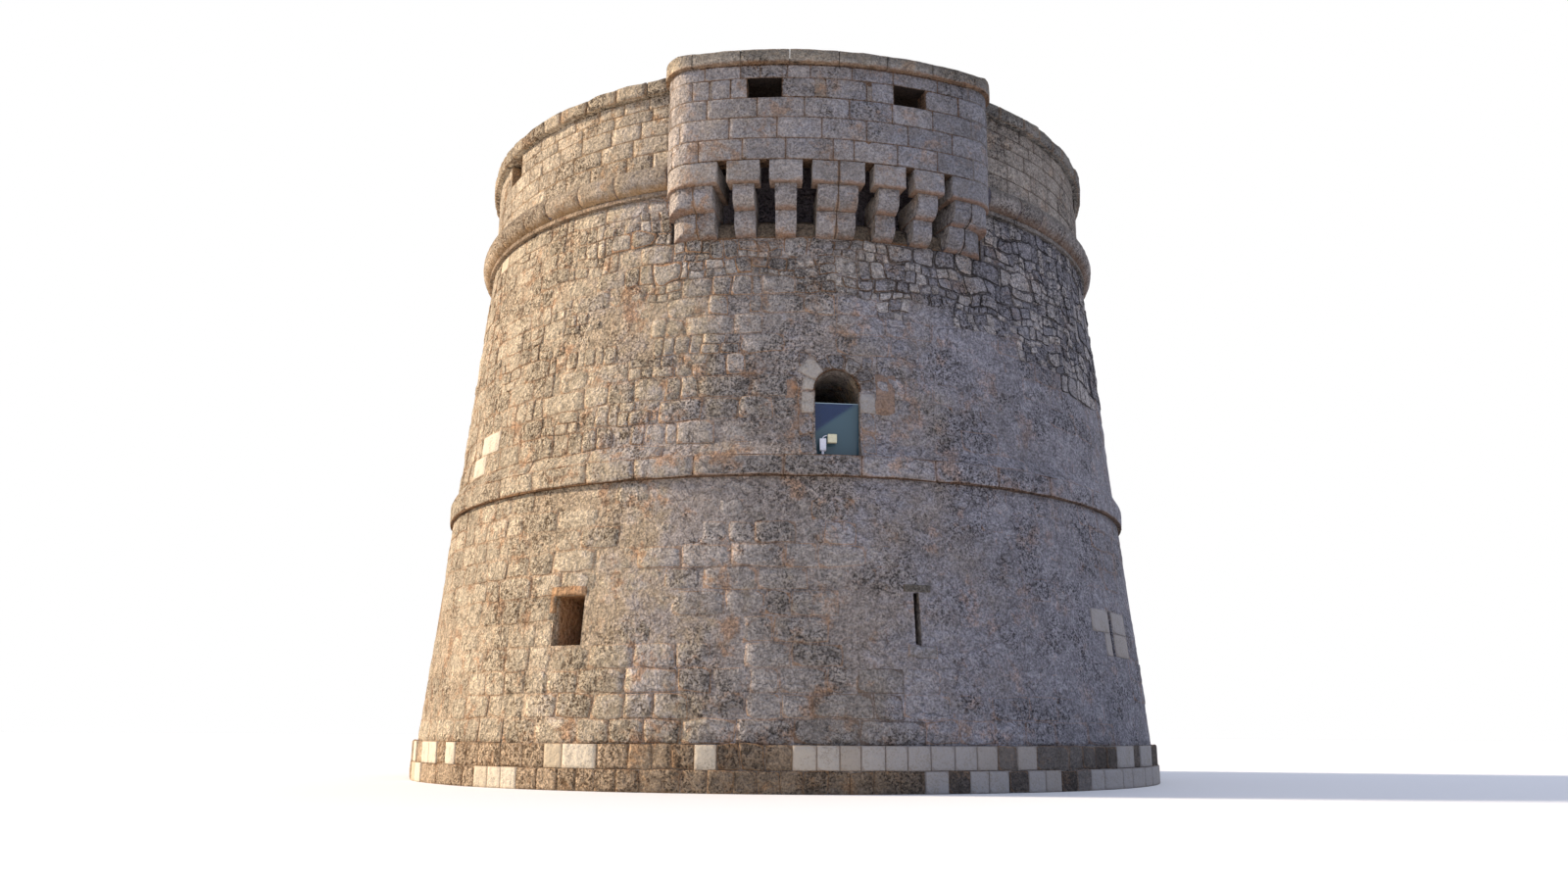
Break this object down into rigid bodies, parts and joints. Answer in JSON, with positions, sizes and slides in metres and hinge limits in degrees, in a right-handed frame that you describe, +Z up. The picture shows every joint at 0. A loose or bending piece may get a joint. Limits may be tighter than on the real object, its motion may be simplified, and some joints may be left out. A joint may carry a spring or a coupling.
{
  "type": "martello tower",
  "caption": "Round battered stone watch tower with a plinth, string course, arched upper doorway, corbelled box, cordon and parapet.",
  "frame": {"origin": "centre of the footing circle, on the ground", "axes": "+Z up, -Y out of the doorway, +X to the right of someone facing the doorway"},
  "size_m": [15.9996, 15.9996, 13.34],
  "materials": {
    "wall_stone": "rough",
    "dressed_stone": "rough",
    "plinth_stone": "rough",
    "coping_stone": "rough",
    "floor_stone": "rough",
    "vault_stone": "rough",
    "shaded_stone": "rough",
    "glass_sheet": "clear",
    "white_enamel": "satin",
    "cream_enamel": "satin"
  },
  "bodies": {
    "root": {"ground_floor": "floor_stone", "plinth_lower_course": "plinth_stone", "plinth_upper_course": "plinth_stone", "lower_wall_sill_courses": "wall_stone", "lower_wall_piers": "wall_stone", "lower_wall_head_courses": "wall_stone", "lower_vault": "vault_stone", "first_floor_paving": "floor_stone", "string_course": "dressed_stone", "upper_wall_door_courses": "wall_stone", "door_jambs": "dressed_stone", "door_arch": "dressed_stone", "door_glass": "glass_sheet", "fitting_post": "white_enamel", "fitting_case": "white_enamel", "fitting_lamp": "cream_enamel", "upper_wall_plain_courses": "wall_stone", "upper_wall_corbel_courses": "wall_stone", "upper_vault": "vault_stone", "box_back_wall": "shaded_stone", "box_recess_blocks": "shaded_stone", "box_lower_corbels": "dressed_stone", "box_upper_corbels": "dressed_stone", "box_lintels": "dressed_stone", "box_front_wall": "dressed_stone", "box_window_piers": "dressed_stone", "box_cheeks": "dressed_stone", "box_top_course": "dressed_stone", "box_roof": "vault_stone", "box_coping": "coping_stone", "cordon_fillet": "dressed_stone", "cordon": "dressed_stone", "terrace_paving": "floor_stone", "parapet_breast": "wall_stone", "parapet_piers": "wall_stone", "parapet_coping": "coping_stone"}
  },
  "joints": []
}
